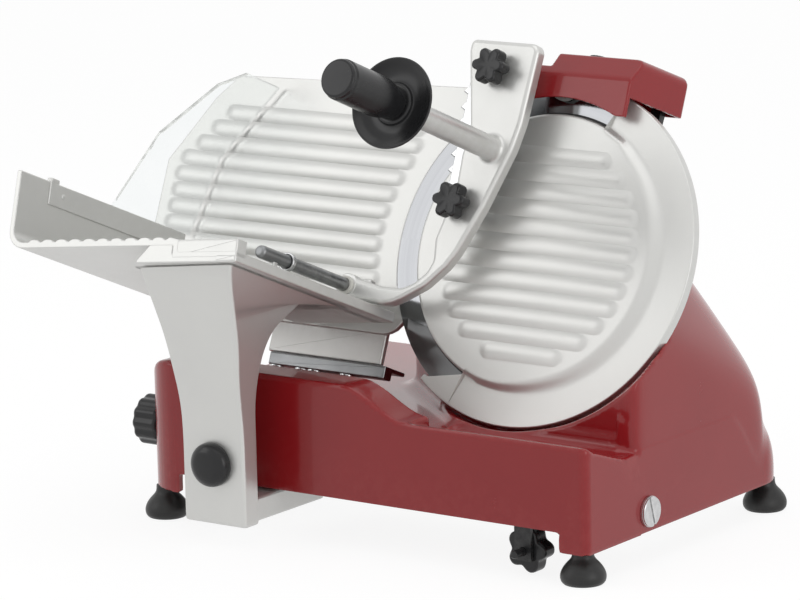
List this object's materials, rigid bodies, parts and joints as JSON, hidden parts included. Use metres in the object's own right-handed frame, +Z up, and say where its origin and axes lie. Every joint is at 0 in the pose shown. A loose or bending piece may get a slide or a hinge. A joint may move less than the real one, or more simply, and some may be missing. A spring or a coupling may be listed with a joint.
{
  "type": "gravity feed meat slicer",
  "caption": "Table-top meat slicer: tilted round blade, sliding tray with pusher arm, ribbed gauge plate, sharpener, red cast base on rubber feet.",
  "frame": {"origin": "on the floor that the feet stand on, below the middle of the whole slicer's bounding box", "axes": "+X to the right along the front, the way the tray travels; +Y to the back; +Z up"},
  "size_m": [0.4924, 0.3976, 0.3743],
  "materials": {
    "red_paint": "gloss",
    "cast_aluminium": "satin",
    "bright_steel": "polished",
    "dark_steel": "satin",
    "blade_steel": "polished",
    "black_plastic": "satin",
    "black_rubber": "matte",
    "clear_plastic": "clear",
    "white_nylon": "matte",
    "abrasive": "matte",
    "motor_winding": "satin",
    "green_plastic": "gloss",
    "red_plastic": "gloss"
  },
  "bodies": {
    "base": {"base_casting": "red_paint", "bottom_plate": "bright_steel", "foot_front_left": "black_rubber", "foot_front_right": "black_rubber", "foot_rear_left": "black_rubber", "foot_rear_right": "black_rubber", "slide_rod": "bright_steel", "rod_plug_left": "bright_steel", "rod_plug_right": "bright_steel", "guide_rail": "bright_steel", "lock_bracket": "black_plastic", "switch_housing": "black_plastic", "cord_gland": "black_plastic", "gauge_slide_rail": "bright_steel", "bearing_front": "bright_steel", "bearing_rear": "bright_steel", "drive_belt": "black_rubber", "motor": "motor_winding", "ring_guard": "cast_aluminium", "cover_disc": "cast_aluminium"},
    "blade": {"blade": "blade_steel", "blade_spindle": "bright_steel", "blade_pulley": "cast_aluminium"},
    "motor_rotor": {"motor_rotor": "bright_steel"},
    "gauge": {"gauge_plate": "cast_aluminium", "gauge_support_bar": "dark_steel", "gauge_bolt_1": "bright_steel", "gauge_bolt_2": "bright_steel", "gauge_bolt_3": "bright_steel", "gauge_bolt_4": "bright_steel", "gauge_slide_block": "cast_aluminium"},
    "index": {"index_knob": "black_plastic", "index_spindle": "dark_steel"},
    "cover_knob": {"cover_tie_rod": "bright_steel", "cover_knob": "black_plastic"},
    "carriage": {"slide_block": "cast_aluminium", "carriage_arm": "cast_aluminium", "guide_shoe": "white_nylon", "carriage_leg": "cast_aluminium", "leg_cap": "black_plastic", "product_tray": "cast_aluminium", "tray_guard": "clear_plastic", "pusher_rod": "bright_steel", "rod_collar": "dark_steel"},
    "pusher_slider": {"pusher_bush": "white_nylon"},
    "pusher": {"pusher_arm": "cast_aluminium", "toothed_plate": "bright_steel", "handle_rod": "bright_steel", "handle_disc": "black_plastic", "handle_grip": "black_plastic"},
    "star_knob_upper": {"star_knob_upper": "black_plastic"},
    "star_knob_lower": {"star_knob_lower": "black_plastic"},
    "sharpener": {"sharpener_body": "red_paint", "sharpener_screw": "black_plastic"},
    "grinding_stone": {"grinding_stone": "abrasive"},
    "deburring_stone": {"deburring_stone": "abrasive"},
    "stone_lever": {"stone_lever": "black_plastic"},
    "lock_knob": {"lock_knob": "black_plastic"},
    "start_button": {"start_button": "green_plastic"},
    "stop_button": {"stop_button": "red_plastic"}
  },
  "joints": [
    {"name": "carriage_slide", "type": "slide", "parent": "base", "child": "carriage", "axis": [1, 0, 0], "range_m": [-0.025, 0.19]},
    {"name": "pusher_slide", "type": "slide", "parent": "carriage", "child": "pusher_slider", "axis": [0, -0.9219, 0.3875], "range_m": [0, 0.07]},
    {"name": "pusher_swing", "type": "hinge", "parent": "pusher_slider", "child": "pusher", "pos_m": [-0.02425, -0.01912, 0.17761], "axis": [0, -0.9219, 0.3875], "range_deg": [0, 50]},
    {"name": "star_knob_upper_turn", "type": "hinge", "parent": "pusher", "child": "star_knob_upper", "pos_m": [0.06975, 0.03739, 0.34043], "axis": [0, -0.9219, 0.3875], "continuous": true},
    {"name": "star_knob_lower_turn", "type": "hinge", "parent": "pusher", "child": "star_knob_lower", "pos_m": [0.05975, -0.00214, 0.2464], "axis": [0, -0.9219, 0.3875], "continuous": true},
    {"name": "blade_spin", "type": "hinge", "parent": "base", "child": "blade", "pos_m": [0.11575, 0.02728, 0.208], "axis": [0, -0.9219, 0.3875], "continuous": true},
    {"name": "motor_spin", "type": "hinge", "parent": "base", "child": "motor_rotor", "pos_m": [0.04075, 0.04717, 0.12371], "axis": [0, -0.9219, 0.3875], "continuous": true},
    {"name": "gauge_slide", "type": "slide", "parent": "base", "child": "gauge", "axis": [0, 1, 0], "range_m": [0, 0.011]},
    {"name": "index_turn", "type": "hinge", "parent": "base", "child": "index", "pos_m": [-0.16725, -0.05822, 0.066], "axis": [1, 0, 0], "range_deg": [0, 270.01]},
    {"name": "cover_knob_turn", "type": "hinge", "parent": "base", "child": "cover_knob", "pos_m": [0.11575, 0.15542, 0.15413], "axis": [0, -0.9219, 0.3875], "continuous": true},
    {"name": "sharpener_lift", "type": "slide", "parent": "base", "child": "sharpener", "axis": [0, 0.3875, 0.9219], "range_m": [0, 0.018]},
    {"name": "grinding_stone_spin", "type": "hinge", "parent": "sharpener", "child": "grinding_stone", "pos_m": [0.13575, 0.08256, 0.32144], "axis": [0, -0.9219, 0.3875], "continuous": true},
    {"name": "deburring_stone_spin", "type": "hinge", "parent": "sharpener", "child": "deburring_stone", "pos_m": [0.10975, 0.07242, 0.32571], "axis": [0, -0.9219, 0.3875], "continuous": true},
    {"name": "stone_lever_turn", "type": "hinge", "parent": "sharpener", "child": "stone_lever", "pos_m": [0.16575, 0.11143, 0.30497], "axis": [0, -0.9219, 0.3875], "range_deg": [-20, 20]},
    {"name": "lock_knob_turn", "type": "hinge", "parent": "base", "child": "lock_knob", "pos_m": [0.17775, -0.08422, 0.019], "axis": [0, 1, 0], "continuous": true},
    {"name": "start_press", "type": "slide", "parent": "base", "child": "start_button", "axis": [1, 0, 0], "range_m": [0, 0.003], "stiffness_N_per_m": 200},
    {"name": "stop_press", "type": "slide", "parent": "base", "child": "stop_button", "axis": [1, 0, 0], "range_m": [0, 0.003], "stiffness_N_per_m": 200}
  ],
  "couplings": [
    {"joint": "motor_spin", "follows": "blade_spin", "ratio": 2.8333},
    {"joint": "index_turn", "follows": "gauge_slide", "rad_per_m": 428.4}
  ]
}
